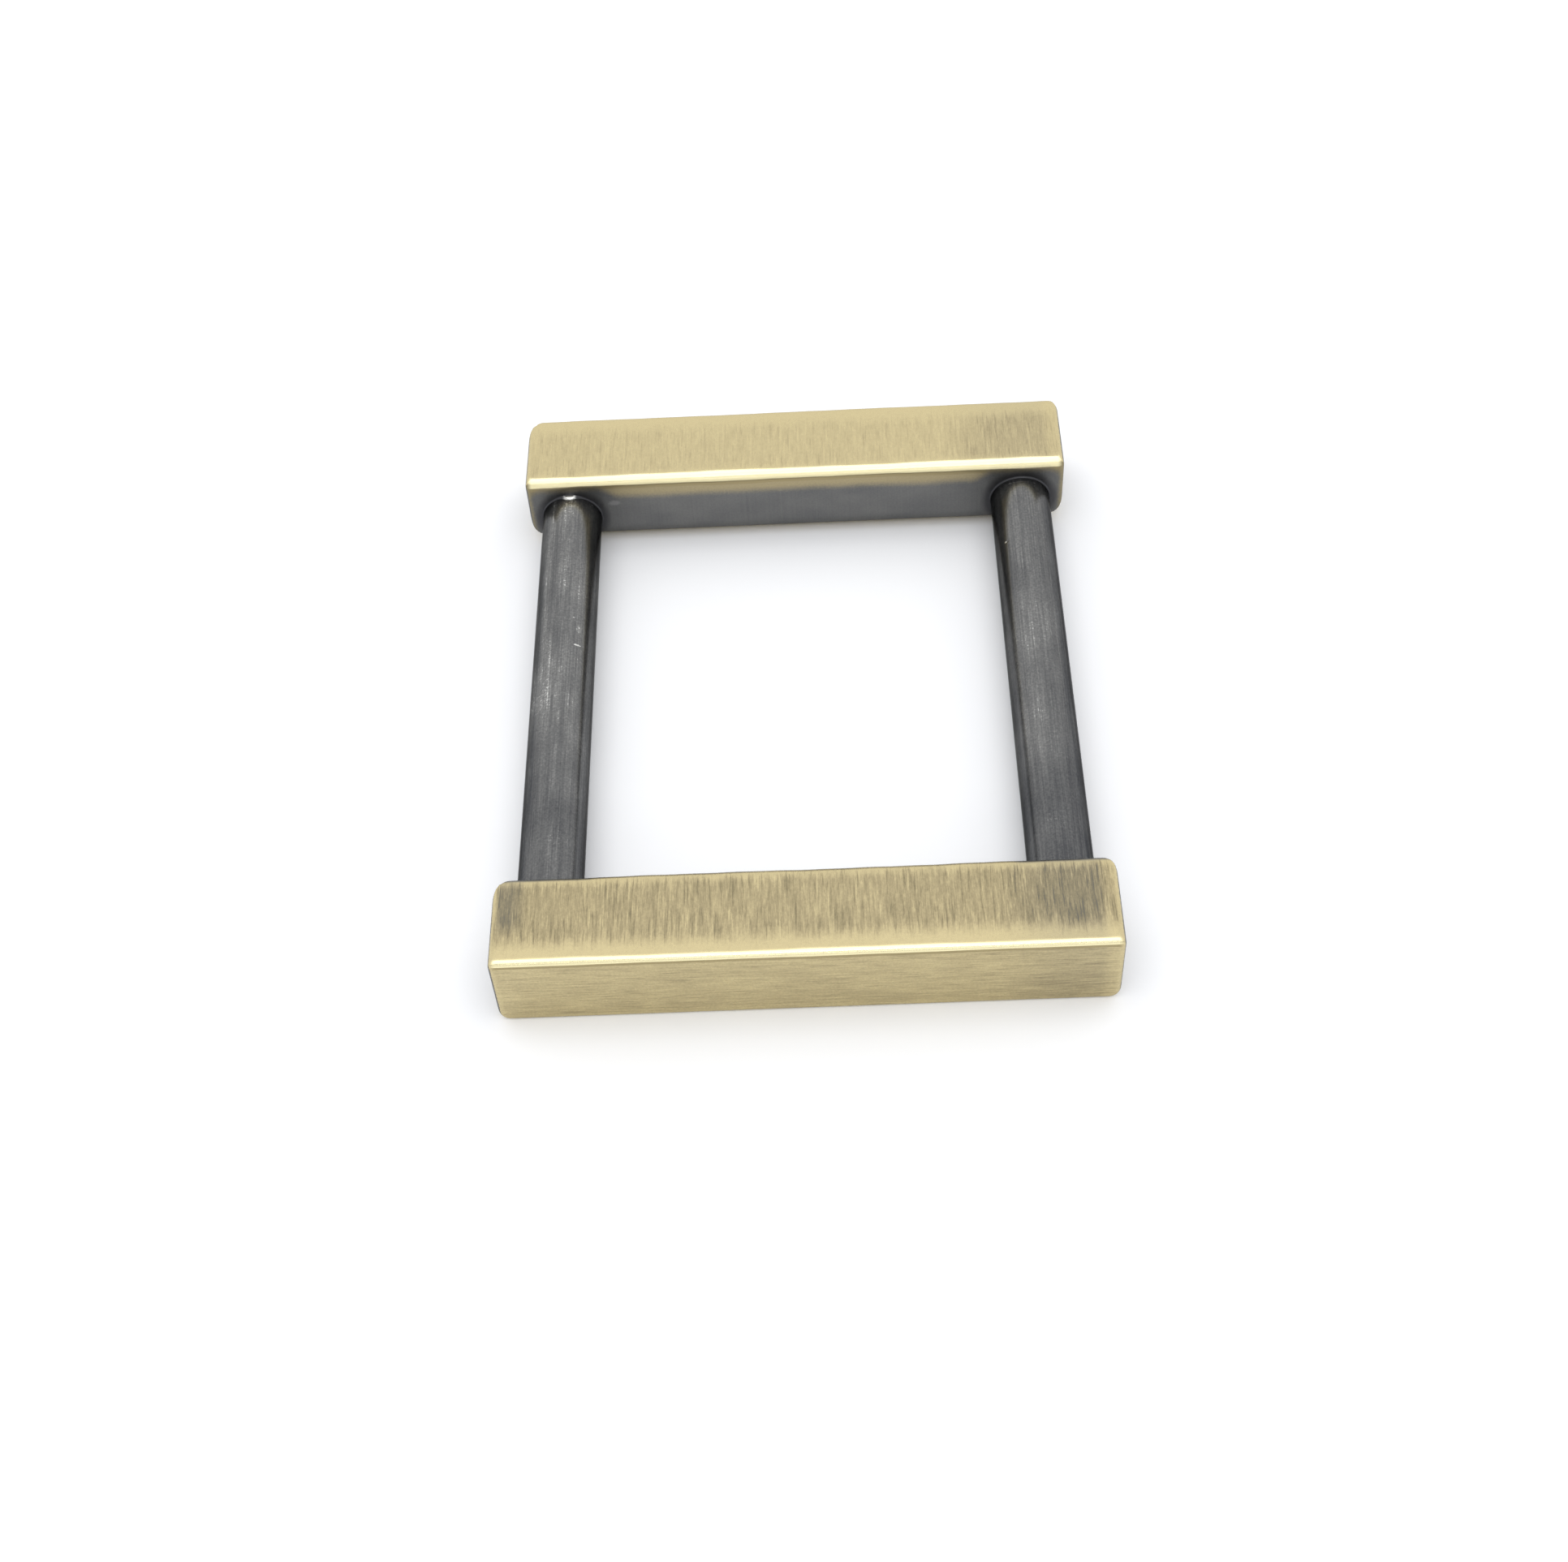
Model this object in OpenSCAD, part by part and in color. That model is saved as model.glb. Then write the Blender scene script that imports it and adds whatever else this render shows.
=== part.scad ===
// Rectangular strap slider: two thick bars joined by two round rods.
// Millimetres. X runs along the bars, Y along the rods, Z up. The slider lies flat on Z = 0,
// and the origin is the middle of its footprint.

/* [Strap] */
// Clear length of each rod between the bars, for a strap 25.4 mm wide
strap_gap = 27.0; // [10:0.5:52]

/* [Bars] */
// Length of each bar
bar_length = 30.0; // [20:0.5:60]
// Width of each bar, in the direction of the rods
bar_width = 5.2; // [4.8:0.1:8]
// Height of each bar
bar_height = 4.7; // [4.7:0.1:8]
// Radius of the long edge on top of a bar's outer face
outer_edge_r = 0.35; // [0.2:0.05:0.9]
// Radius of the long edge that the strap rubs, on top of the inner face
strap_edge_r = 0.6; // [0.2:0.05:0.6]
// Radius of the two long edges that the slider lies on
under_edge_r = 0.2; // [0.1:0.05:0.2]
// Radius of the edges across the top of a bar's ends
end_edge_r = 0.4; // [0.2:0.05:0.5]
// Radius of the edges across the bottom of a bar's ends
end_under_r = 0.8; // [0.2:0.05:1.2]
// Radius of the upright edges on each bar's far side, towards +Y
far_upright_r = 0.6; // [0.2:0.05:0.6]
// Radius of the upright edges on each bar's near side, towards -Y
near_upright_r = 0.25; // [0.2:0.05:0.6]

/* [Rods] */
// Diameter of each rod
rod_d = 3.3; // [2.4:0.1:3.3]
// Height of the rods' axes above the surface that the slider lies on
rod_height = 2.0; // [2.0:0.05:2.3]
// Distance from a bar's end to the rod's axis
rod_inset = 2.4; // [2.4:0.1:6]
// Depth that a rod's end is pressed into its bar
press_depth = 3.2; // [2:0.1:3.8]
// Chamfer on a rod's two ends
rod_chamfer = 0.25; // [0.1:0.05:0.4]

/* [Joints] */
// Space left between a rod's end and the floor of its bore
bore_relief = 0.2; // [0.1:0.05:0.4]
// Width of the solder round a rod's root: the depth it fills and the height it climbs
solder_leg = 0.1; // [0.05:0.05:0.1]

/* [Hidden] */
$fn = 64;

rod_r = rod_d / 2;
rod_x = bar_length / 2 - rod_inset;
rod_length = strap_gap + 2 * press_depth;
bore_depth = press_depth + bore_relief;
inner_face_y = strap_gap / 2;
solder_r = rod_r + solder_leg;
// How far a cutter passes the face that it opens
clear = 1;

BRASS = [0.74, 0.67, 0.5];
GUNMETAL = [0.46, 0.46, 0.46];
SOLDER = [0.36, 0.36, 0.37];

// Rectangle from the origin to [width, height]. The radii are those of the lower left, lower
// right, upper right and upper left corners.
module rounded_rectangle(width, height, radii) {
    polygon([
        [radii[0], 0],
        [width - radii[1], 0],
        [width, radii[1]],
        [width, height - radii[2]],
        [width - radii[2], height],
        [radii[3], height],
        [0, height - radii[3]],
        [0, radii[0]]
    ]);
    translate([radii[0], radii[0]]) circle(radii[0]);
    translate([width - radii[1], radii[1]]) circle(radii[1]);
    translate([width - radii[2], height - radii[2]]) circle(radii[2]);
    translate([radii[3], height - radii[3]]) circle(radii[3]);
}

// The three outlines below share one place: inner face at Y = 0, outer face at Y = bar_width.
module bar_from_end() {
    translate([-bar_length / 2, 0, 0])
        rotate([90, 0, 90])
            linear_extrude(bar_length)
                rounded_rectangle(
                    bar_width,
                    bar_height,
                    [under_edge_r, under_edge_r, outer_edge_r, strap_edge_r]
                );
}

module bar_from_above(inner_r, outer_r) {
    translate([-bar_length / 2, 0, 0])
        linear_extrude(bar_height)
            rounded_rectangle(bar_length, bar_width, [inner_r, inner_r, outer_r, outer_r]);
}

module bar_from_front() {
    translate([-bar_length / 2, bar_width, 0])
        rotate([90, 0, 0])
            linear_extrude(bar_width)
                rounded_rectangle(
                    bar_length,
                    bar_height,
                    [end_under_r, end_under_r, end_edge_r, end_edge_r]
                );
}

// Blind bore that runs along +Y from the inner face, with a 45 degree countersink.
module bore() {
    rotate([-90, 0, 0])
        translate([0, 0, -clear]) {
            cylinder(h = clear + bore_depth, r = rod_r);
            cylinder(h = clear + 2 * solder_leg, r1 = solder_r + clear, r2 = rod_r - solder_leg);
        }
}

// One bar on the +Y side, with its inner face at Y = 0 and both rods' bores in it.
module bar(inner_upright_r, outer_upright_r) {
    difference() {
        intersection() {
            bar_from_end();
            bar_from_above(inner_upright_r, outer_upright_r);
            bar_from_front();
        }
        for (x = [-rod_x, rod_x])
            translate([x, 0, rod_height]) bore();
    }
}

// One rod along Y, with its middle at the origin.
module rod() {
    rotate([90, 0, 0]) {
        cylinder(h = rod_length - 2 * rod_chamfer, r = rod_r, center = true);
        for (end = [0, 1])
            mirror([0, 0, end])
                translate([0, 0, rod_length / 2 - rod_chamfer])
                    cylinder(h = rod_chamfer, r1 = rod_r, r2 = rod_r - rod_chamfer);
    }
}

// Ring of solder round a rod's root at Y = 0. It fills the countersink on the +Y side and
// climbs the rod on the -Y side with a hollow face.
module solder() {
    rotate([90, 0, 0])
        rotate_extrude()
            difference() {
                polygon([
                    [rod_r, -solder_leg],
                    [solder_r, 0],
                    [solder_r, solder_leg],
                    [rod_r, solder_leg]
                ]);
                translate([solder_r, solder_leg]) circle(solder_leg);
            }
}

// Moves a child made at Y = 0 to the far inner face.
module at_far_face() {
    translate([0, inner_face_y, 0]) children();
}

// Turns a child made at Y = 0 half round and moves it to the near inner face.
module at_near_face() {
    translate([0, -inner_face_y, 0])
        rotate([0, 0, 180]) children();
}

// Moves a child made at the origin to a rod's axis: side is -1 for the left rod, 1 for the right.
module on_rod(side) {
    translate([side * rod_x, 0, rod_height]) children();
}

module far_bar() {
    color(BRASS) at_far_face() bar(near_upright_r, far_upright_r);
}

module near_bar() {
    color(BRASS) at_near_face() bar(far_upright_r, near_upright_r);
}

module left_rod() {
    color(GUNMETAL) on_rod(-1) rod();
}

module right_rod() {
    color(GUNMETAL) on_rod(1) rod();
}

module far_left_solder() {
    color(SOLDER) on_rod(-1) at_far_face() solder();
}

module far_right_solder() {
    color(SOLDER) on_rod(1) at_far_face() solder();
}

module near_left_solder() {
    color(SOLDER) on_rod(-1) at_near_face() solder();
}

module near_right_solder() {
    color(SOLDER) on_rod(1) at_near_face() solder();
}

far_bar();
near_bar();
left_rod();
right_rod();
far_left_solder();
far_right_solder();
near_left_solder();
near_right_solder();
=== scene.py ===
import math

import bmesh
import bpy
import numpy as np
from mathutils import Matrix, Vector


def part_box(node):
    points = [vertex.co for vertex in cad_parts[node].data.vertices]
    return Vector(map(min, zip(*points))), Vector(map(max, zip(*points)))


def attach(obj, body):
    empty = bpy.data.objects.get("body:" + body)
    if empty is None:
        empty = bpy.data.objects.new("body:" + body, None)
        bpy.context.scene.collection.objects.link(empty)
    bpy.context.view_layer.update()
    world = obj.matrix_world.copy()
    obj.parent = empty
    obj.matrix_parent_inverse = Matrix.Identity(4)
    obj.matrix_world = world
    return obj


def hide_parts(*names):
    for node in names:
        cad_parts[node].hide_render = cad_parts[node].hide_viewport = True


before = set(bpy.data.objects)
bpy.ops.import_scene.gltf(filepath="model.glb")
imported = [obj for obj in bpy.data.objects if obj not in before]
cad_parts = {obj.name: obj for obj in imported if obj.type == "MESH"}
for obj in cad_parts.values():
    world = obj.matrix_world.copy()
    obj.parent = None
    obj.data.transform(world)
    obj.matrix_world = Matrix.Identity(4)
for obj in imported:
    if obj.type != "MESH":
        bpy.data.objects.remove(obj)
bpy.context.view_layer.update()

# Lengths are in millimetres up to the moment a mesh, lamp or camera is made, and then in metres.
MM = 0.001


def box_mm(node):
    """Lowest and highest corner of a CAD node, in millimetres."""
    low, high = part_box(node)
    return np.array(low) / MM, np.array(high) / MM


# ---------------------------------------------------------------- sizes taken from the frame
NEAR_LOW, NEAR_HIGH = box_mm("near_bar")
FAR_LOW, FAR_HIGH = box_mm("far_bar")
ROD_LOW, ROD_HIGH = box_mm("left_rod")
RIGHT_ROD_LOW, RIGHT_ROD_HIGH = box_mm("right_rod")
RING_LOW, RING_HIGH = box_mm("far_left_solder")

HALF_LENGTH = NEAR_HIGH[0]
HEIGHT = NEAR_HIGH[2]
HALF_HEIGHT = HEIGHT / 2
HALF_WIDTH = (NEAR_HIGH[1] - NEAR_LOW[1]) / 2
INNER_Y = FAR_LOW[1]
ROD_R = (ROD_HIGH[0] - ROD_LOW[0]) / 2
ROD_X = (RIGHT_ROD_LOW[0] + RIGHT_ROD_HIGH[0]) / 2
ROD_Z = (ROD_LOW[2] + ROD_HIGH[2]) / 2
ROD_END = ROD_HIGH[1]
RING_R = (RING_HIGH[0] - RING_LOW[0]) / 2
LEG = RING_R - ROD_R

# ---------------------------------------------------------------- small sizes of the metalwork
# Long edges: the upper and lower ones on a bar's outer face, then those on its inner face
OUTER_EDGE_R = 0.35
UNDER_EDGE_R = 0.2
STRAP_EDGE_R = 0.6
STRAP_UNDER_R = 1.3
# Edges across a bar's ends: the upper ones, then the lower ones, which grow from the outer face
# to the inner face
END_EDGE_R = 0.4
END_UNDER_R = 0.8
STRAP_END_UNDER_R = 2.0
# Upright edges: those on each bar's -Y side, and the left and right ones on its +Y side
FRONT_UPRIGHT_R = 0.25
NEAR_BACK_R = {-1: 1.4, 1: 1.1}
FAR_BACK_R = {-1: 1.35, 1: 0.9}
# Part of its radius by which a long upper edge varies along the bar
EDGE_WANDER = 0.1
# Space between a rod's end and the floor of its bore
BORE_RELIEF = 0.2
ROD_CHAMFER = 0.25
# Depth of the marks that drawing left along a rod, and how many there are round it
DRAW_MARK_DEPTH = 0.004
DRAW_MARKS = 7
# How far a cutter passes the face that it opens
CLEAR = 1.0

# The bead of solder at the far left root: how far it reaches round the rod and along it
BEAD_HALF_TURN = math.radians(13)
BEAD_CLIMB = 0.28
# BEAD_PLACE is also the middle of the painted glint on the bead
BEAD_PLACE = (-ROD_X, INNER_Y - 0.1, ROD_Z + ROD_R)

# ---------------------------------------------------------------- fineness of the meshes
# Width of the strip of closer rows along a bar's edges, the rows in it, and their crowding
EDGE_ZONE = 1.6
EDGE_ROWS = 18
EDGE_CROWDING = 1.3
BAR_STEP = 0.26
SURFACE_HALVINGS = 30
CORNER_ZONE = 0.5
CORNER_PASSES = 2
TURN_SEGMENTS = 96
ROD_STEP = 0.3
# Rows across a nick, and how many of its widths they reach to each side
NICK_ROWS = 13
NICK_REACH = 2.4
RING_ROWS = 12
# Edges sharper than this, in degrees, stay sharp in the shading
SHARP_ANGLE = 30
RING_SHARP_ANGLE = 35

# ---------------------------------------------------------------- depth of the bumps
BRUSH_DEPTH = 0.004
SCRATCH_DEPTH = 0.0015
SOLDER_DEPTH = 0.01

# ---------------------------------------------------------------- studio
FLOOR_HALF_SIZE = 320.0
# Brightness of the surroundings: low down, then high up behind the slider and in front of it
LOW_LIGHT = 1.12
BACK_LIGHT = 1.08
FRONT_LIGHT = 0.6
# The camera's lens and place, in millimetres, and its turn about X, Y and Z, in degrees
CAMERA_LENS = 52.8
CAMERA_PLACE = (2.14, -79.41, 93.64)
CAMERA_TURN = (38.589, 2.596, -0.832)

# ---------------------------------------------------------------- colours, linear
# Buffed brass, also a painted highlight on the upper edges that face the lamps
BUFFED_HIGHLIGHT_BRASS = (0.88, 0.80, 0.50)
CLEAN_BRASS = (0.64, 0.545, 0.312)
DULL_BRASS = (0.41, 0.343, 0.205)
BROWN_BRASS = (0.25, 0.214, 0.128)
DARK_BRASS = (0.155, 0.143, 0.11)
OXIDE = (0.192, 0.191, 0.184)
DEEP_OXIDE = (0.132, 0.134, 0.136)
GUNMETAL = (0.165, 0.166, 0.166)
PALE_GUNMETAL = (0.26, 0.26, 0.255)
DARK_GUNMETAL = (0.085, 0.087, 0.092)
BARE_METAL = (0.7, 0.7, 0.68)
ARRIS_BRASS = (0.33, 0.27, 0.145)
# Thick oxide and painted shade in the corner where a rod meets a bar
ROOT_OXIDE_AND_SHADE = (0.06, 0.06, 0.065)
PAPER = (0.92, 0.93, 0.952)
WHITER_PAPER = (0.935, 0.945, 0.967)


# ================================================================ mesh work
def new_object(name, points, faces):
    """A mesh object from points in millimetres. Its origin is the frame's own origin."""
    mesh = bpy.data.meshes.new(name)
    mesh.from_pydata([tuple(p) for p in np.asarray(points) * MM], [], faces)
    mesh.validate()
    made = bpy.data.objects.new(name, mesh)
    bpy.context.scene.collection.objects.link(made)
    return made


def smooth_shaded(piece, sharp_angle):
    """Smooth shading, broken only at edges sharper than the angle in degrees."""
    for polygon in piece.data.polygons:
        polygon.use_smooth = True
    piece.data.set_sharp_from_angle(angle=math.radians(sharp_angle))


def stations(half, step):
    """Places from -half to half, close together next to both ends, where the edges are rounded."""
    edge = -half + EDGE_ZONE * np.linspace(0, 1, EDGE_ROWS) ** EDGE_CROWDING
    count = max(2, round(2 * (half - EDGE_ZONE) / step))
    middle = np.linspace(edge[-1], -edge[-1], count + 1)[1:-1]
    return np.concatenate([edge, middle, -edge[::-1]])


def lattice_shell(sides):
    """Points and outward quads on the six sides of a box, from its stations along X, Y and Z."""
    index, points, quads = {}, [], []

    def corner(axis, end, a, b):
        """Number of the point at these stations, made the first time that it is asked for."""
        key = [0, 0, 0]
        key[axis] = end
        key[(axis + 1) % 3] = a
        key[(axis + 2) % 3] = b
        key = tuple(key)
        if key not in index:
            index[key] = len(points)
            points.append([sides[k][key[k]] for k in range(3)])
        return index[key]

    for axis in range(3):
        last = len(sides[axis]) - 1
        for end in (0, last):
            for a in range(len(sides[(axis + 1) % 3]) - 1):
                for b in range(len(sides[(axis + 2) % 3]) - 1):
                    ring = [(a, b), (a + 1, b), (a + 1, b + 1), (a, b + 1)]
                    quad = [corner(axis, end, i, j) for i, j in ring]
                    quads.append(quad if end else quad[::-1])
    return np.array(points), quads


def rounded_outline(a, b, half_a, half_b, radius):
    """Signed distance from a rectangle's outline with rounded corners, negative inside it."""
    over_a = np.abs(a) - half_a + radius
    over_b = np.abs(b) - half_b + radius
    outside = np.hypot(np.maximum(over_a, 0), np.maximum(over_b, 0))
    return np.minimum(np.maximum(over_a, over_b), 0) + outside - radius


def wander(x, seed):
    """A slow wave along a bar, from about -1 to 1."""
    slow = np.sin(0.41 * x + 1.7 * seed)
    middle = np.sin(1.13 * x + 2.9 * seed)
    quick = np.sin(2.9 * x + 4.3 * seed)
    return 0.5 * slow + 0.3 * middle + 0.2 * quick


def bar_distance(p, inward, back_r, seed):
    """Signed distance from a bar's surface. The points are relative to the bar's middle.

    back_r holds the radii of the left and right upright edges on the bar's +Y side.
    """
    x, y, z = p[:, 0], p[:, 1], p[:, 2]
    on_strap_side = y * inward > 0
    top_r = np.where(on_strap_side, STRAP_EDGE_R, OUTER_EDGE_R)
    top_r = top_r * (1 + EDGE_WANDER * wander(x, seed))
    under_r = np.where(on_strap_side, STRAP_UNDER_R, UNDER_EDGE_R)
    long_r = np.where(z > 0, top_r, under_r)
    upright_r = np.where(y > 0, np.where(x < 0, back_r[-1], back_r[1]), FRONT_UPRIGHT_R)
    toward_strap = np.clip(0.5 + y * inward / (2 * HALF_WIDTH), 0, 1)
    end_under_r = END_UNDER_R + (STRAP_END_UNDER_R - END_UNDER_R) * toward_strap
    end_r = np.where(z > 0, END_EDGE_R, end_under_r)
    from_end = rounded_outline(y, z, HALF_WIDTH, HALF_HEIGHT, long_r)
    from_above = rounded_outline(x, y, HALF_LENGTH, HALF_WIDTH, upright_r)
    from_front = rounded_outline(x, z, HALF_LENGTH, HALF_HEIGHT, end_r)
    return np.maximum(np.maximum(from_end, from_above), from_front)


def pulled_to_surface(points, inward, back_r, seed):
    """Moves each point of a box's shell onto the rounded bar, on a ray from the bar's core."""
    half = np.array([HALF_LENGTH, HALF_WIDTH, HALF_HEIGHT])
    core = np.clip(points, -(half - EDGE_ZONE), half - EDGE_ZONE)
    low = np.zeros(len(points))
    high = np.ones(len(points))
    for _ in range(SURFACE_HALVINGS):
        middle = (low + high) / 2
        trial = core + (points - core) * middle[:, None]
        inside = bar_distance(trial, inward, back_r, seed) < 0
        low = np.where(inside, middle, low)
        high = np.where(inside, high, middle)
    return core + (points - core) * low[:, None]


def soften_corners(piece, centre):
    """Takes the creases out of a bar's eight corners, where three roundings meet."""
    half = np.array([HALF_LENGTH, HALF_WIDTH, HALF_HEIGHT]) - CORNER_ZONE
    work = bmesh.new()
    work.from_mesh(piece.data)
    places = np.array([v.co for v in work.verts]) / MM - centre
    near = np.all(np.abs(places) > half, axis=1)
    corner = [v for v, chosen in zip(work.verts, near) if chosen]
    for _ in range(CORNER_PASSES):
        bmesh.ops.smooth_vert(
            work, verts=corner, factor=0.5, use_axis_x=True, use_axis_y=True, use_axis_z=True
        )
    work.to_mesh(piece.data)
    work.free()


def turned(rows, closed):
    """Points and outward faces of a profile turned about the Y direction through the origin.

    rows holds (place along the axis, radius) pairs, each a number or an array round the turn. An
    open profile runs towards +Y and makes a rod with flat ends. A closed one makes a ring.
    """
    angle = np.linspace(0, 2 * math.pi, TURN_SEGMENTS, endpoint=False)
    points = []
    for along, radius in rows:
        y = np.broadcast_to(along, angle.shape)
        points.extend(np.column_stack([radius * np.sin(angle), y, radius * np.cos(angle)]))
    faces = []
    for i in range(len(rows) if closed else len(rows) - 1):
        first = i * TURN_SEGMENTS
        second = (i + 1) % len(rows) * TURN_SEGMENTS
        for j in range(TURN_SEGMENTS):
            k = (j + 1) % TURN_SEGMENTS
            faces.append([first + j, first + k, second + k, second + j])
    if not closed:
        add_flat_end(points, faces, 0, rows[0][0], -1)
        add_flat_end(points, faces, (len(rows) - 1) * TURN_SEGMENTS, rows[-1][0], 1)
    return np.array(points), faces


def add_flat_end(points, faces, first, along, order):
    """Closes a turned shape with a fan of triangles. order is 1 at its +Y end and -1 at the other."""
    hub = len(points)
    points.append(np.array([0.0, along, 0.0]))
    for j in range(TURN_SEGMENTS):
        k = (j + 1) % TURN_SEGMENTS
        faces.append([hub, first + j, first + k][::order])


def facing(points, faces, outward, place):
    """Turns a shape made towards +Y to face outward, which is 1 or -1, and moves it to its place."""
    points = points * np.array([1.0, outward, 1.0]) + np.array(place)
    if outward < 0:
        faces = [face[::-1] for face in faces]
    return points, faces


def edge_recess(over, radius):
    """How far a rounded edge falls back at a distance past the place where its rounding starts."""
    over = np.clip(over, 0, 0.98 * radius)
    return radius - np.sqrt(radius**2 - over**2)


def seated(points, side, outward):
    """Moves points made on a bar's flat inner face back onto its rounded edges."""
    upright_r = FRONT_UPRIGHT_R if outward > 0 else NEAR_BACK_R[side]
    sideways = edge_recess(np.abs(points[:, 0]) - HALF_LENGTH + upright_r, upright_r)
    below = edge_recess(STRAP_UNDER_R - points[:, 2], STRAP_UNDER_R)
    moved = points.copy()
    moved[:, 1] += outward * np.maximum(sideways, below)
    return moved


def bore_cutter(side, outward):
    """A closed cutter for one blind bore, opening at the bar's inner face with a countersink."""
    depth = ROD_END - INNER_Y + BORE_RELIEF
    rows = [(-CLEAR, RING_R + CLEAR), (0.0, RING_R), (LEG, ROD_R), (depth, ROD_R)]
    points, faces = turned(rows, closed=False)
    points, faces = facing(points, faces, outward, (side * ROD_X, outward * INNER_Y, ROD_Z))
    mouth = slice(TURN_SEGMENTS, 3 * TURN_SEGMENTS)
    points[mouth] = seated(points[mouth], side, outward)
    return new_object("cutter", points, faces)


def cut_bores(piece, outward):
    """Cuts both blind bores for the rods into a bar."""
    for side in (-1, 1):
        cutter = bore_cutter(side, outward)
        modifier = piece.modifiers.new("bore", "BOOLEAN")
        modifier.operation = "DIFFERENCE"
        modifier.solver = "EXACT"
        modifier.object = cutter
        graph = bpy.context.evaluated_depsgraph_get()
        cut = bpy.data.meshes.new_from_object(piece.evaluated_get(graph))
        piece.modifiers.clear()
        piece.data = cut
        bpy.data.objects.remove(cutter)


def make_bar(name, low, high, inward, back_r, seed):
    """One thick bar with softened edges and two blind bores in its inner face."""
    centre = (low + high) / 2
    sides = [stations(half, BAR_STEP) for half in (HALF_LENGTH, HALF_WIDTH, HALF_HEIGHT)]
    points, quads = lattice_shell(sides)
    points = pulled_to_surface(points, inward, back_r, seed) + centre
    piece = new_object(name, points, quads)
    soften_corners(piece, centre)
    cut_bores(piece, -inward)
    smooth_shaded(piece, SHARP_ANGLE)
    return piece


# A nick is (turn from the top in degrees, place along the rod, length round the rod, depth, width).
LEFT_NICKS = [(31.0, 2.5, 0.5, 0.012, 0.06), (22.0, 4.4, 0.05, 0.01, 0.06)]
RIGHT_NICKS = [(-42.0, 8.95, 0.15, 0.01, 0.06)]


def rod_rows(nicks, seed):
    """Rows along a rod, closer together across its nicks, each with its radius round the turn."""
    flat_end = ROD_END - ROD_CHAMFER
    places = list(np.linspace(-flat_end, flat_end, round(2 * flat_end / ROD_STEP)))
    for _, along, _, _, width in nicks:
        places.extend(along + width * np.linspace(-NICK_REACH, NICK_REACH, NICK_ROWS))
    places = sorted(places)
    angle = np.linspace(0, 2 * math.pi, TURN_SEGMENTS, endpoint=False)
    rows = [(-ROD_END, ROD_R - ROD_CHAMFER)]
    for along in places:
        wave = np.sin(DRAW_MARKS * angle + 0.1 * along + seed)
        draw_marks = DRAW_MARK_DEPTH * (1 + wave) / 2
        radius = ROD_R - draw_marks
        for turn, at, length, depth, width in nicks:
            round_rod = (angle - math.radians(turn) + math.pi) % (2 * math.pi) - math.pi
            past_end = np.maximum(np.abs(round_rod) * ROD_R - length / 2, 0)
            spread = (past_end / width) ** 2 + ((along - at) / width) ** 2
            radius = radius - depth * np.exp(-spread)
        rows.append((along, radius))
    rows.append((ROD_END, ROD_R - ROD_CHAMFER))
    return rows


def make_rod(name, side, nicks):
    """One round rod, pressed into both bars, with its drawing marks and nicks."""
    points, faces = turned(rod_rows(nicks, 2.0 + side), closed=False)
    piece = new_object(name, points + np.array([side * ROD_X, 0.0, ROD_Z]), faces)
    smooth_shaded(piece, SHARP_ANGLE)
    return piece


def make_ring(name, side, outward, seed, bead):
    """The ring of solder at a rod's root: it fills the countersink and climbs the rod.

    Its face is hollow, and where bead is above 0 it swells into a round bead on top of the rod.
    """
    angle = np.linspace(0, 2 * math.pi, TURN_SEGMENTS, endpoint=False)
    lumps = np.sin(3 * angle + seed) * np.sin(5 * angle + 2 * seed)
    height = LEG * (1 - 0.06 * (1 + lumps))
    off_top = np.minimum(angle, 2 * math.pi - angle)
    full = bead * np.exp(-((off_top / BEAD_HALF_TURN) ** 2))
    rows = [(LEG, ROD_R), (0.0, RING_R)]
    for turn in np.linspace(0, math.pi / 2, RING_ROWS)[1:]:
        hollow = height * (1 - math.cos(turn))
        swollen = BEAD_CLIMB * math.sin(turn)
        narrowing = LEG * ((1 - full) * math.sin(turn) + full * (1 - math.cos(turn)))
        rows.append((-(1 - full) * hollow - full * swollen, RING_R - narrowing))
    points, faces = turned(rows[::-1], closed=True)
    points, faces = facing(points, faces, outward, (side * ROD_X, outward * INNER_Y, ROD_Z))
    piece = new_object(name, seated(points, side, outward), faces)
    smooth_shaded(piece, RING_SHARP_ANGLE)
    return piece


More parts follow.
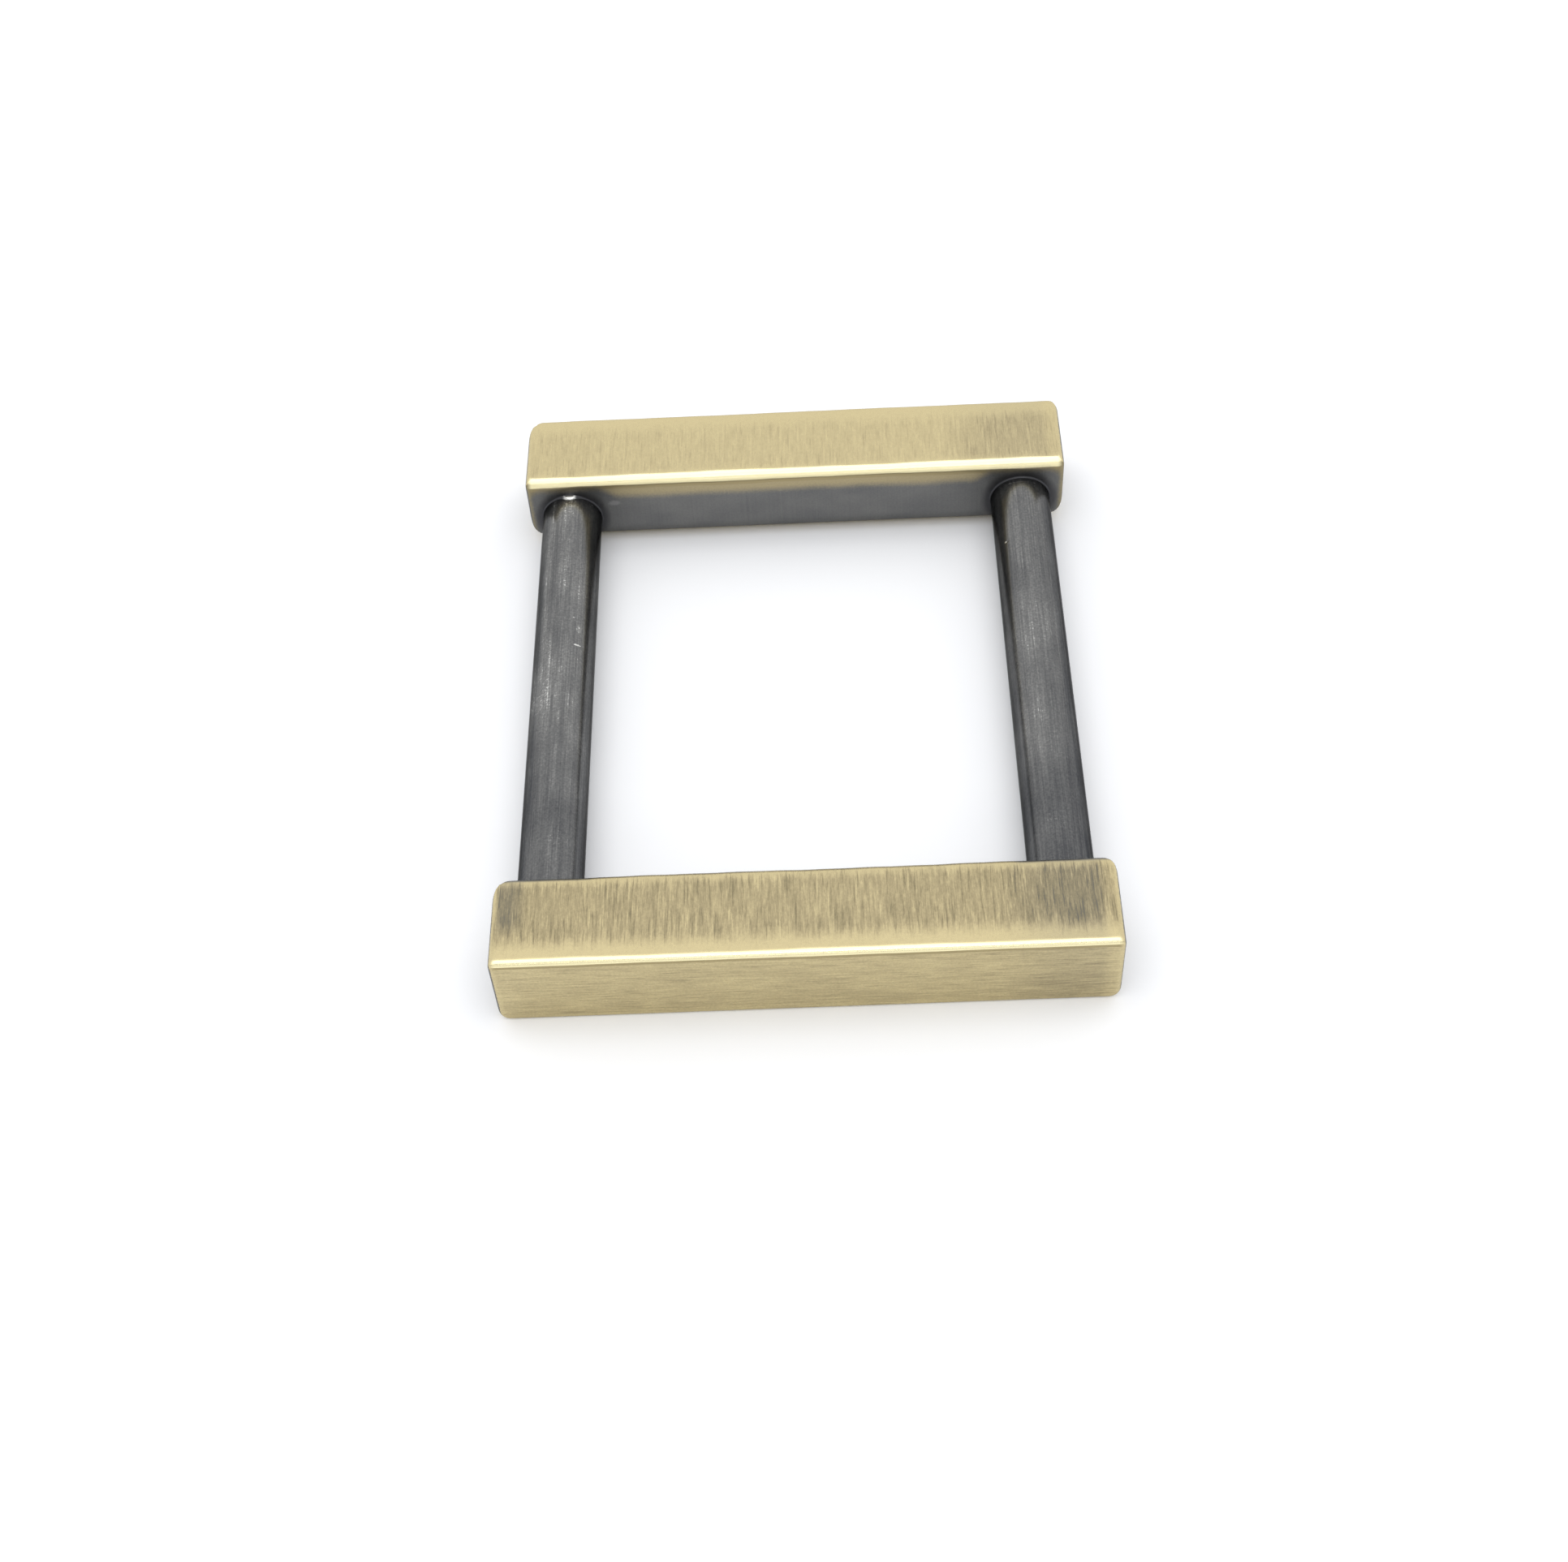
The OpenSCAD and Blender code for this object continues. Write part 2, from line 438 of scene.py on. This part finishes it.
# ================================================================ materials
class Graph:
    """A material's nodes. Apart from add, split and metal, each call returns an output socket."""

    def __init__(self, name):
        self.material = bpy.data.materials.new(name)
        self.material.use_nodes = True
        self.tree = self.material.node_tree
        self.tree.nodes.clear()

    def add(self, kind, inputs=(), **settings):
        """A node with its inputs, each linked to a socket or set to a value. Returns the node."""
        node = self.tree.nodes.new(kind)
        for key, value in settings.items():
            setattr(node, key, value)
        for key, value in dict(inputs).items():
            if isinstance(value, bpy.types.NodeSocket):
                self.tree.links.new(value, node.inputs[key])
            else:
                node.inputs[key].default_value = value
        return node

    def math(self, operation, *values):
        node = self.add("ShaderNodeMath", enumerate(values), operation=operation)
        return node.outputs[0]

    def plus(self, a, b):
        return self.math("ADD", a, b)

    def minus(self, a, b):
        return self.math("SUBTRACT", a, b)

    def times(self, a, b):
        return self.math("MULTIPLY", a, b)

    def clamp(self, value):
        """The value, held between 0 and 1."""
        return self.add("ShaderNodeClamp", {"Value": value}).outputs[0]

    def step(self, value, low, high):
        """0 below low and 1 above high, with a smooth ramp between them. low may be the larger."""
        inputs = {"Value": value, "From Min": low, "From Max": high}
        node = self.add("ShaderNodeMapRange", inputs, interpolation_type="SMOOTHSTEP")
        return node.outputs[0]

    def vector(self, x, y, z):
        return self.add("ShaderNodeCombineXYZ", enumerate((x, y, z))).outputs[0]

    def split(self, vector):
        """The X, Y and Z of a vector."""
        return self.add("ShaderNodeSeparateXYZ", {0: vector}).outputs[:]

    def scaled(self, vector, x, y, z):
        inputs = {0: vector, 1: (x, y, z)}
        return self.add("ShaderNodeVectorMath", inputs, operation="MULTIPLY").outputs[0]

    def place(self):
        """The point on the surface, in millimetres in the frame."""
        point = self.add("ShaderNodeTexCoord").outputs["Object"]
        return self.scaled(point, 1 / MM, 1 / MM, 1 / MM)

    def normal(self):
        """The direction that the surface faces."""
        return self.add("ShaderNodeTexCoord").outputs["Normal"]

    def noise(self, vector, detail=2.0, rough=0.5, scale=1.0):
        """Noise about zero, with a scale of about one unit of the vector."""
        inputs = {"Vector": vector, "Scale": scale, "Detail": detail, "Roughness": rough}
        return self.minus(self.add("ShaderNodeTexNoise", inputs).outputs[0], 0.5)

    def ramp(self, value, stops):
        """A colour ramp. stops holds (position, colour) pairs."""
        node = self.add("ShaderNodeValToRGB", {0: value})
        elements = node.color_ramp.elements
        while len(elements) < len(stops):
            elements.new(1.0)
        for element, (position, colour) in zip(elements, stops):
            element.position = position
            element.color = (*colour, 1.0)
        return node.outputs[0]

    def mix(self, amount, a, b):
        """Colour a where amount is 0 and colour b where it is 1."""
        node = self.add("ShaderNodeMix", data_type="RGBA")
        for socket, value in ((node.inputs[0], amount), (node.inputs[6], a), (node.inputs[7], b)):
            if isinstance(value, bpy.types.NodeSocket):
                self.tree.links.new(value, socket)
            elif isinstance(value, tuple):
                socket.default_value = (*value, 1.0)
            else:
                socket.default_value = value
        return node.outputs[2]

    def blend(self, amount, a, b):
        """Number a where amount is 0 and number b where it is 1."""
        inputs = {0: amount, 2: a, 3: b}
        return self.add("ShaderNodeMix", inputs, data_type="FLOAT").outputs[0]

    def metal(self, colour, roughness, height, depth_mm, grazing):
        """The metal shader, with a bump of the given depth. Returns the finished material.

        grazing is the grey that tints reflections at a low angle.
        """
        bump = self.add("ShaderNodeBump", {"Height": height, "Distance": depth_mm * MM})
        inputs = {
            "Base Color": colour,
            "Metallic": 1.0,
            "Roughness": roughness,
            "Specular Tint": (grazing, grazing, grazing, 1.0),
            "Normal": bump.outputs[0],
        }
        shader = self.add("ShaderNodeBsdfPrincipled", inputs)
        self.add("ShaderNodeOutputMaterial", {"Surface": shader.outputs[0]})
        return self.material


class BarPlaces:
    """Sockets that say where on a bar a point is, in millimetres, and which way it faces."""

    def __init__(self, g, centre_y, inward):
        self.point = g.place()
        self.x, self.y, self.z = g.split(self.point)
        self.side_x, self.side_y, self.up = g.split(g.normal())
        self.facing_in = g.times(self.side_y, inward)
        self.across = g.times(g.minus(self.y, centre_y), inward)
        self.from_inner = g.minus(HALF_WIDTH, self.across)
        self.from_outer = g.plus(HALF_WIDTH, self.across)
        self.from_ends = g.minus(HALF_LENGTH, g.math("ABSOLUTE", self.x))
        self.from_top = g.minus(HEIGHT, self.z)
        self.on_outer = g.step(self.facing_in, -0.5, -0.85)
        self.on_inner = g.step(self.facing_in, 0.3, 0.8)
        self.on_end = g.step(g.math("ABSOLUTE", self.side_x), 0.6, 0.85)


def brush_strokes(g, at):
    """Fine and broad strokes about zero, across the top and along the outer and end faces."""
    across_fine = g.noise(g.vector(g.times(at.x, 6.5), g.times(at.y, 0.6), 0.0), 5.0, 0.85)
    across_broad = g.noise(g.vector(g.times(at.x, 1.5), g.times(at.y, 0.3), 7.0), 2.0, 0.55)
    along_fine = g.noise(g.vector(g.times(at.x, 0.5), 3.0, g.times(at.z, 9.0)), 5.0, 0.85)
    along_broad = g.noise(g.vector(g.times(at.x, 0.15), 9.0, g.times(at.z, 1.8)), 2.0, 0.55)
    across_sharp = g.noise(g.vector(g.times(at.x, 9.0), g.times(at.y, 0.45), 21.0), 2.0, 0.6)
    along_sharp = g.noise(g.vector(g.times(at.x, 0.4), 25.0, g.times(at.z, 13.0)), 2.0, 0.6)
    end_fine = g.noise(g.vector(33.0, g.times(at.y, 0.7), g.times(at.z, 7.0)), 5.0, 0.85)
    fine = g.blend(at.on_end, g.blend(at.on_outer, across_fine, along_fine), end_fine)
    broad = g.blend(at.on_outer, across_broad, along_broad)
    sharp = g.blend(at.on_outer, across_sharp, along_sharp)
    dark_lines = g.step(sharp, 0.06, 0.16)
    light_lines = g.step(sharp, -0.08, -0.18)
    return g.plus(fine, g.minus(g.times(dark_lines, 0.18), g.times(light_lines, 0.16))), broad


def brushed_cover(g, at, fine, broad):
    """0 at the clean borders of the brushed faces and 1 inside them, with a ragged start."""
    ragged = g.plus(g.times(broad, 0.5), g.times(fine, 0.7))
    inner_border = g.step(g.plus(at.from_inner, ragged), 0.3, 1.0)
    outer_border = g.step(g.plus(at.from_outer, ragged), 0.55, 1.75)
    top_cover = g.times(inner_border, outer_border)
    low_border = g.step(g.plus(at.z, ragged), -0.1, 0.5)
    high_border = g.step(g.plus(at.from_top, ragged), 0.1, 0.4)
    outer_cover = g.times(low_border, high_border)
    ends = g.step(g.plus(at.from_ends, g.times(ragged, 0.4)), 0.0, 0.5)
    return g.times(g.blend(at.on_outer, top_cover, outer_cover), ends)


def darker_patches(g, at, finish):
    """Places on the top where more oxide is left, near the bar's two ends."""
    right_start, right_end, right_strength = finish["right_patch"]
    right = g.times(g.step(at.x, right_start, right_end), g.step(at.x, 14.5, 13.8))
    right = g.times(right, g.blend(at.on_outer, right_strength, finish["outer_patch"]))
    left_start, left_end, left_strength = finish["left_patch"]
    left = g.times(g.step(at.x, left_start, left_end), g.step(at.x, -14.85, -14.55))
    left = g.times(left, g.step(at.across, -1.3, 0.1))
    left = g.times(left, g.minus(1.0, at.on_outer))
    return g.plus(right, g.times(left, left_strength))


def brushed_brass(g, at, finish, fine, broad, grain, patches):
    """Colour of the brushed faces, with a painted highlight on the upper edges facing -Y, and the
    amount of oxide left on them.
    """
    strokes = g.plus(g.times(fine, 1.5), g.times(broad, 0.35))
    oxide = g.blend(at.on_outer, finish["oxide_on_top"], finish["oxide_outside"])
    contrast = g.blend(at.on_outer, finish["contrast"], finish["outer_contrast"])
    amount = g.plus(oxide, g.times(strokes, contrast))
    amount = g.plus(amount, g.times(patches, 0.2 * finish["contrast"]))
    blocks = darker_patches(g, at, finish)
    amount = g.plus(amount, g.times(blocks, g.plus(1.0, g.times(fine, 2.2))))
    amount = g.times(g.math("MAXIMUM", amount, 0.0), brushed_cover(g, at, fine, broad))
    dull_rim = g.plus(0.4, g.times(g.step(at.from_ends, 1.2, 0.3), 0.25))
    amount = g.plus(amount, g.times(at.on_inner, dull_rim))
    amount = g.clamp(g.plus(amount, g.times(grain, finish["grain"])))
    stops = [(0.0, CLEAN_BRASS), (0.35, DULL_BRASS), (0.68, BROWN_BRASS), (1.0, DARK_BRASS)]
    colour = g.mix(g.clamp(g.times(blocks, 0.75)), g.ramp(amount, stops), OXIDE)
    # Painted highlight, partly real buffing: the upper edges facing -Y, towards the lamps, take a
    # bright buffed colour, with a darker brown line just below
    front_edge = g.times(g.step(at.side_y, 0.0, -0.12), g.step(at.from_ends, 0.05, 0.4))
    buffed_highlight = g.times(front_edge, g.times(g.step(at.up, 0.995, 0.96), g.step(at.up, 0.3, 0.4)))
    arris = g.times(front_edge, g.times(g.step(at.up, 0.38, 0.3), g.step(at.up, 0.01, 0.06)))
    colour = g.mix(g.times(arris, 0.85), colour, ARRIS_BRASS)
    return g.mix(buffed_highlight, colour, BUFFED_HIGHLIGHT_BRASS), amount


def dark_faces(g, at, finish, grain, patches, broad):
    """1 on the inner face and on the end faces, where the oxide is left on, with soft rims."""
    from_rod = g.math("ABSOLUTE", g.minus(g.math("ABSOLUTE", at.x), ROD_X))
    beside_rod = g.step(from_rod, 2.8, 1.5)
    depth = g.plus(at.from_top, g.times(g.plus(grain, patches), 0.3))
    depth = g.plus(depth, g.times(beside_rod, 0.6))
    inner = g.step(depth, *finish["inner_fade"])
    inner = g.times(inner, g.step(g.plus(at.from_ends, g.times(grain, 0.3)), 0.0, 0.4))
    inner = g.times(inner, g.step(g.plus(at.z, g.times(grain, 0.2)), 0.0, 0.3))
    inner = g.times(inner, g.step(at.across, HALF_WIDTH - 0.5, HALF_WIDTH - 0.15))
    sideways = g.plus(g.math("ABSOLUTE", at.side_x), g.times(g.plus(grain, broad), 0.25))
    left_front_edge = g.times(g.step(at.side_y, -0.2, -0.6), g.step(at.x, 0.0, -1.0))
    sideways = g.plus(sideways, g.times(left_front_edge, 0.3))
    return g.math("MAXIMUM", inner, g.step(sideways, 0.75, 0.95))


def smudge(g, at, grain):
    """1 on a small rubbed spot on the inner face, to the right of the left rod."""
    off_x = g.times(g.minus(at.x, 2.45 - ROD_X), 2.6)
    off_z = g.times(g.minus(at.z, ROD_Z + 1.0), 4.5)
    far = g.math("SQRT", g.plus(g.times(off_x, off_x), g.times(off_z, off_z)))
    return g.times(g.step(g.plus(far, grain), 1.1, 0.5), at.on_inner)


def beside_root(g, at):
    """1 on the inner face next to a rod's root, where the oxide is thickest and painted shade darkens
    the corner.
    """
    off_x = g.minus(g.math("ABSOLUTE", at.x), ROD_X)
    off_z = g.minus(at.z, ROD_Z)
    far = g.math("SQRT", g.plus(g.times(off_x, off_x), g.times(off_z, off_z)))
    return g.times(g.step(far, ROD_R + 0.65, ROD_R + 0.15), at.on_inner)


def brass_bar(name, centre_y, inward, finish):
    """Antique brass: oxide brushed away in strokes, worn off the edges, and left dark on the
    inner and end faces."""
    g = Graph(name)
    at = BarPlaces(g, centre_y, inward)
    patches = g.noise(g.scaled(at.point, 0.35, 0.35, 0.6), 2.0, 0.5)
    grain = g.noise(g.scaled(at.point, 8.0, 6.0, 8.0), 3.0, 0.8)
    fine, broad = brush_strokes(g, at)
    brushed, amount = brushed_brass(g, at, finish, fine, broad, grain, patches)
    dark = dark_faces(g, at, finish, grain, patches, broad)
    mottle = g.plus(g.plus(patches, grain), g.times(fine, g.plus(0.6, at.on_end)))
    mottle = g.clamp(g.plus(0.45, g.times(mottle, 1.3)))
    # Painted shade, together with oxide: the inner face goes near black round each rod's root
    oxide = g.mix(g.times(beside_root(g, at), 0.8), g.mix(mottle, OXIDE, DEEP_OXIDE), ROOT_OXIDE_AND_SHADE)
    oxide = g.mix(g.times(smudge(g, at, grain), finish["smudge"]), oxide, PALE_GUNMETAL)
    colour = g.mix(dark, brushed, oxide)
    roughness = g.blend(dark, g.plus(0.27, g.times(amount, 0.1)), 0.4)
    height = g.plus(g.plus(g.times(fine, 1.0), g.times(broad, 0.5)), g.times(grain, 0.6))
    return g.metal(colour, roughness, height, BRUSH_DEPTH, 0.7)


class RodPlaces:
    """Sockets that say where on a rod a point is: its turn from the top, and its place along."""

    def __init__(self, g, side):
        self.point = g.place()
        x, self.y, z = g.split(self.point)
        turn = g.math("ARCTAN2", g.minus(x, side * ROD_X), g.minus(z, ROD_Z))
        self.degrees = g.times(turn, 180 / math.pi)
        self.arc = g.times(turn, ROD_R)


def scratched(g, at, shade, scratches):
    """Adds broken lines along the rod. A scratch is (turn and width in degrees, strength)."""
    for turn, width, strength in scratches:
        off = g.math("ABSOLUTE", g.minus(at.degrees, turn))
        line = g.step(off, width, width * 0.3)
        gaps = g.noise(g.vector(g.times(at.arc, 2.0), g.times(at.y, 0.5), turn))
        broken = g.step(gaps, -0.08, 0.1)
        shade = g.plus(shade, g.times(g.times(line, broken), strength))
    return shade


def pitted(g, at, shade, pits):
    """Adds clusters of pale specks. A pit is (turn in degrees, place along, strength)."""
    for turn, along, strength in pits:
        off = g.times(g.minus(at.degrees, turn), ROD_R * math.pi / 180)
        beyond = g.math("POWER", g.minus(at.y, along), 2.0)
        far = g.math("SQRT", g.plus(g.times(off, off), beyond))
        speck = g.step(g.noise(g.scaled(at.point, 11.0, 7.0, 11.0), 1.0), 0.09, 0.2)
        shade = g.plus(shade, g.times(g.times(g.step(far, 0.9, 0.3), speck), strength))
    return shade


def marked(g, at, shade, marks):
    """Adds small pale spots, most of them bare metal and one a painted highlight. A mark is (turn,
    place, half its turn, half its length, strength).
    """
    for turn, along, half_turn, half_length, strength in marks:
        round_rod = g.times(g.minus(at.degrees, turn), 1 / half_turn)
        on_rod = g.times(g.minus(at.y, along), 1 / half_length)
        far = g.plus(g.times(round_rod, round_rod), g.times(on_rod, on_rod))
        shade = g.plus(shade, g.times(g.step(far, 1.0, 0.3), strength))
    return shade


def gunmetal_rod(name, side, scratches, pits, marks):
    """Dark plating with fine streaks along the rod, darker towards its near end."""
    g = Graph(name)
    at = RodPlaces(g, side)
    fine = g.noise(g.vector(g.times(at.arc, 14.0), g.times(at.y, 0.22), 2.0 + side), 3.0, 0.65)
    broad = g.noise(g.vector(g.times(at.arc, 2.6), g.times(at.y, 0.09), 5.0 + side), 2.0, 0.5)
    grain = g.noise(g.scaled(at.point, 9.0, 9.0, 9.0), 2.0, 0.6)
    cloud = g.noise(g.scaled(at.point, 0.4, 0.25, 0.4), 2.0, 0.5)
    shade = g.plus(g.times(fine, 0.95), g.times(broad, 0.7))
    shade = g.plus(shade, g.times(cloud, 0.8))
    shade = g.plus(g.plus(shade, g.times(grain, 0.8)), 0.54)
    shade = g.minus(shade, g.times(g.step(at.y, -3.0, -10.5), 0.25))
    shade = g.minus(shade, 0.04 + 0.04 * side)
    shade = scratched(g, at, shade, scratches)
    shade = pitted(g, at, shade, pits)
    shade = marked(g, at, shade, marks)
    stops = [(0.0, DARK_GUNMETAL), (0.5, GUNMETAL), (0.8, PALE_GUNMETAL), (1.0, BARE_METAL)]
    colour = g.ramp(g.clamp(shade), stops)
    roughness = g.plus(0.24, g.times(g.plus(grain, broad), 0.08))
    height = g.plus(fine, g.times(grain, 0.4))
    return g.metal(colour, roughness, height, SCRATCH_DEPTH, 0.3)


def solder_ring(name):
    """Dark plated solder, slightly lumpy, darkened with painted shade at the rod's root, and with a
    painted glint of bare-metal colour on the bead at the far left root.
    """
    g = Graph(name)
    place = g.place()
    lumps = g.noise(g.scaled(place, 3.0, 3.0, 3.0), 2.0, 0.5)
    grain = g.noise(g.scaled(place, 12.0, 12.0, 12.0), 2.0, 0.6)
    shade = g.clamp(g.plus(0.4, g.plus(lumps, g.times(grain, 0.4))))
    # The ring's darkest tone is oxide and painted shade in the corner at the rod's root
    colour = g.ramp(shade, [(0.0, ROOT_OXIDE_AND_SHADE), (1.0, DARK_GUNMETAL)])
    off_bead = g.add("ShaderNodeVectorMath", {0: place, 1: BEAD_PLACE}, operation="DISTANCE")
    # Painted glint: a bare-metal spot on the bead, where the lamps make a highlight
    bare_glint = g.step(off_bead.outputs["Value"], 0.42, 0.2)
    colour = g.mix(bare_glint, colour, BARE_METAL)
    roughness = g.blend(bare_glint, g.plus(0.5, g.times(grain, 0.15)), 0.2)
    return g.metal(colour, roughness, g.plus(lumps, g.times(grain, 0.3)), SOLDER_DEPTH, 0.3)


def white_floor():
    """Matt white paper."""
    g = Graph("white_paper")
    fibre = g.noise(g.scaled(g.place(), 1.5, 1.5, 1.5), 3.0, 0.6)
    colour = g.mix(g.clamp(g.plus(0.5, g.times(fibre, 0.3))), PAPER, WHITER_PAPER)
    shader = g.add("ShaderNodeBsdfPrincipled", {"Base Color": colour, "Roughness": 0.85})
    g.add("ShaderNodeOutputMaterial", {"Surface": shader.outputs[0]})
    return g.material


# ================================================================ stage
def make_floor():
    """Square sheet of paper. It ends where the lamps still light it almost white."""
    size = FLOOR_HALF_SIZE
    points = [(-size, -size, 0), (size, -size, 0), (size, size, 0), (-size, size, 0)]
    floor = new_object("floor", points, [[0, 1, 2, 3]])
    floor.data.materials.append(white_floor())


def world_ramp(tree, value, start, end, low, high):
    """Low up to start and high past end, with a smooth ramp between them."""
    node = tree.nodes.new("ShaderNodeMapRange")
    node.interpolation_type = "SMOOTHSTEP"
    tree.links.new(value, node.inputs["Value"])
    node.inputs["From Min"].default_value = start
    node.inputs["From Max"].default_value = end
    for name, side in (("To Min", low), ("To Max", high)):
        if isinstance(side, bpy.types.NodeSocket):
            tree.links.new(side, node.inputs[name])
        else:
            node.inputs[name].default_value = side
    return node.outputs[0]


def make_world(low_down, behind, in_front):
    """A white tent round the slider, dimmer high up on the -Y side, where the camera stands."""
    world = bpy.data.worlds.new("studio")
    world.use_nodes = True
    tree = world.node_tree
    direction = tree.nodes.new("ShaderNodeTexCoord")
    parts = tree.nodes.new("ShaderNodeSeparateXYZ")
    tree.links.new(direction.outputs["Generated"], parts.inputs[0])
    high_up = world_ramp(tree, parts.outputs["Y"], 0.2, -0.6, behind, in_front)
    brightness = world_ramp(tree, parts.outputs["Z"], 0.16, 0.4, low_down, high_up)
    background = tree.nodes["Background"]
    background.inputs["Color"].default_value = (1.0, 1.0, 1.0, 1.0)
    tree.links.new(brightness, background.inputs["Strength"])
    bpy.context.scene.world = world


def softbox(name, azimuth, elevation, distance, width, height, radiance):
    """A rectangular lamp that faces the slider, with an even brightness over its face.

    The lamp's brightness is its power over pi times its area.
    """
    lamp = bpy.data.lights.new(name, "AREA")
    lamp.shape = "RECTANGLE"
    lamp.size = width * MM
    lamp.size_y = height * MM
    lamp.energy = radiance * math.pi * lamp.size * lamp.size_y
    lamp.color = (1.0, 1.0, 1.0)
    made = bpy.data.objects.new(name, lamp)
    a, e = math.radians(azimuth), math.radians(elevation)
    back = Vector((math.sin(a) * math.cos(e), -math.cos(a) * math.cos(e), math.sin(e)))
    made.location = back * distance * MM
    made.rotation_mode = "QUATERNION"
    made.rotation_quaternion = back.to_track_quat("Z", "Y")
    bpy.context.scene.collection.objects.link(made)


def make_camera():
    """The photograph's view: from above, in front of the near bar and a little to its right."""
    data = bpy.data.cameras.new("camera")
    data.lens = CAMERA_LENS
    data.sensor_width = 36.0
    data.clip_start = 0.001
    data.clip_end = 10.0
    camera = bpy.data.objects.new("camera", data)
    camera.location = np.array(CAMERA_PLACE) * MM
    camera.rotation_euler = [math.radians(a) for a in CAMERA_TURN]
    bpy.context.scene.collection.objects.link(camera)
    bpy.context.scene.camera = camera


# ================================================================ assembly
def place_piece(piece, node, material):
    """Gives a piece its finish and ties it to the CAD node that it stands for."""
    piece.data.materials.clear()
    piece.data.materials.append(material)
    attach(piece, "root")
    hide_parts(node)


# A patch is (place along the bar where it starts, place where it is full, strength).
NEAR_FINISH = {
    "oxide_on_top": 0.34,
    "oxide_outside": 0.16,
    "contrast": 0.9,
    "outer_contrast": 0.65,
    "grain": 0.45,
    "left_patch": (-13.1, -14.2, 0.3),
    "right_patch": (8.5, 12.6, 0.26),
    "outer_patch": 0.11,
    "inner_fade": (0.0, 0.4),
    "smudge": 0.0,
}
FAR_FINISH = {
    "oxide_on_top": 0.1,
    "oxide_outside": 0.1,
    "contrast": 0.38,
    "outer_contrast": 0.6,
    "grain": 0.3,
    "left_patch": (-13.6, -14.1, 0.0),
    "right_patch": (7.5, 12.6, 0.12),
    "outer_patch": 0.14,
    "inner_fade": (0.8, 1.5),
    "smudge": 0.8,
}


def build_bars():
    """Both brass bars, each with corners and wear of its own."""
    middle_y = INNER_Y + HALF_WIDTH
    near = make_bar("near_brass_bar", NEAR_LOW, NEAR_HIGH, 1, NEAR_BACK_R, 0.4)
    near_brass = brass_bar("near_brushed_brass", -middle_y, 1, NEAR_FINISH)
    place_piece(near, "near_bar", near_brass)
    far = make_bar("far_brass_bar", FAR_LOW, FAR_HIGH, -1, FAR_BACK_R, 1.9)
    far_brass = brass_bar("far_brushed_brass", middle_y, -1, FAR_FINISH)
    place_piece(far, "far_bar", far_brass)


def build_rods():
    """Both gunmetal rods, each with its own scratches, pits and marks."""
    left = make_rod("left_steel_rod", -1, LEFT_NICKS)
    left_metal = gunmetal_rod(
        "left_gunmetal",
        -1,
        scratches=[(3.0, 5.0, 0.16), (-32.0, 5.0, 0.1)],
        pits=[(17.0, -10.4, 0.3)],
        marks=[
            (31.0, 2.5, 10.0, 0.07, 0.5),
            (22.7, 4.4, 3.0, 0.07, 0.4),
            (33.0, 3.65, 6.0, 0.35, 0.2),
        ],
    )
    place_piece(left, "left_rod", left_metal)
    right = make_rod("right_steel_rod", 1, RIGHT_NICKS)
    right_metal = gunmetal_rod(
        "right_gunmetal",
        1,
        scratches=[(-14.0, 2.0, 0.16), (-2.0, 3.0, 0.08), (9.0, 3.0, 0.08)],
        pits=[(-7.0, -10.5, 0.35)],
        # The second mark is a painted highlight: a thin light arc over the rod's top next to its far
        # root
        marks=[(-45.0, 8.95, 4.0, 0.09, 0.6), (0.0, 13.15, 42.0, 0.05, 0.25)],
    )
    place_piece(right, "right_rod", right_metal)


def build_rings():
    """The four rings of solder. Only the one at the far left root has a bead."""
    metal = solder_ring("plated_solder")
    for side, side_name in ((-1, "left"), (1, "right")):
        for outward, end_name in ((1, "far"), (-1, "near")):
            bead = 1.0 if (side, outward) == (-1, 1) else 0.0
            seed = side + 2.5 * outward
            ring = make_ring(f"{end_name}_{side_name}_ring", side, outward, seed, bead)
            place_piece(ring, f"{end_name}_{side_name}_solder", metal)


make_camera()
make_world(LOW_LIGHT, BACK_LIGHT, FRONT_LIGHT)
softbox("overhead_softbox", 0, 80, 420, 480, 480, 0.95)
softbox("key_lamp", 2, 58, 260, 30, 30, 6.0)
softbox("low_lamp", 0, 32, 260, 120, 45, 1.5)
make_floor()
build_bars()
build_rods()
build_rings()
bpy.context.scene.view_settings.view_transform = "Standard"
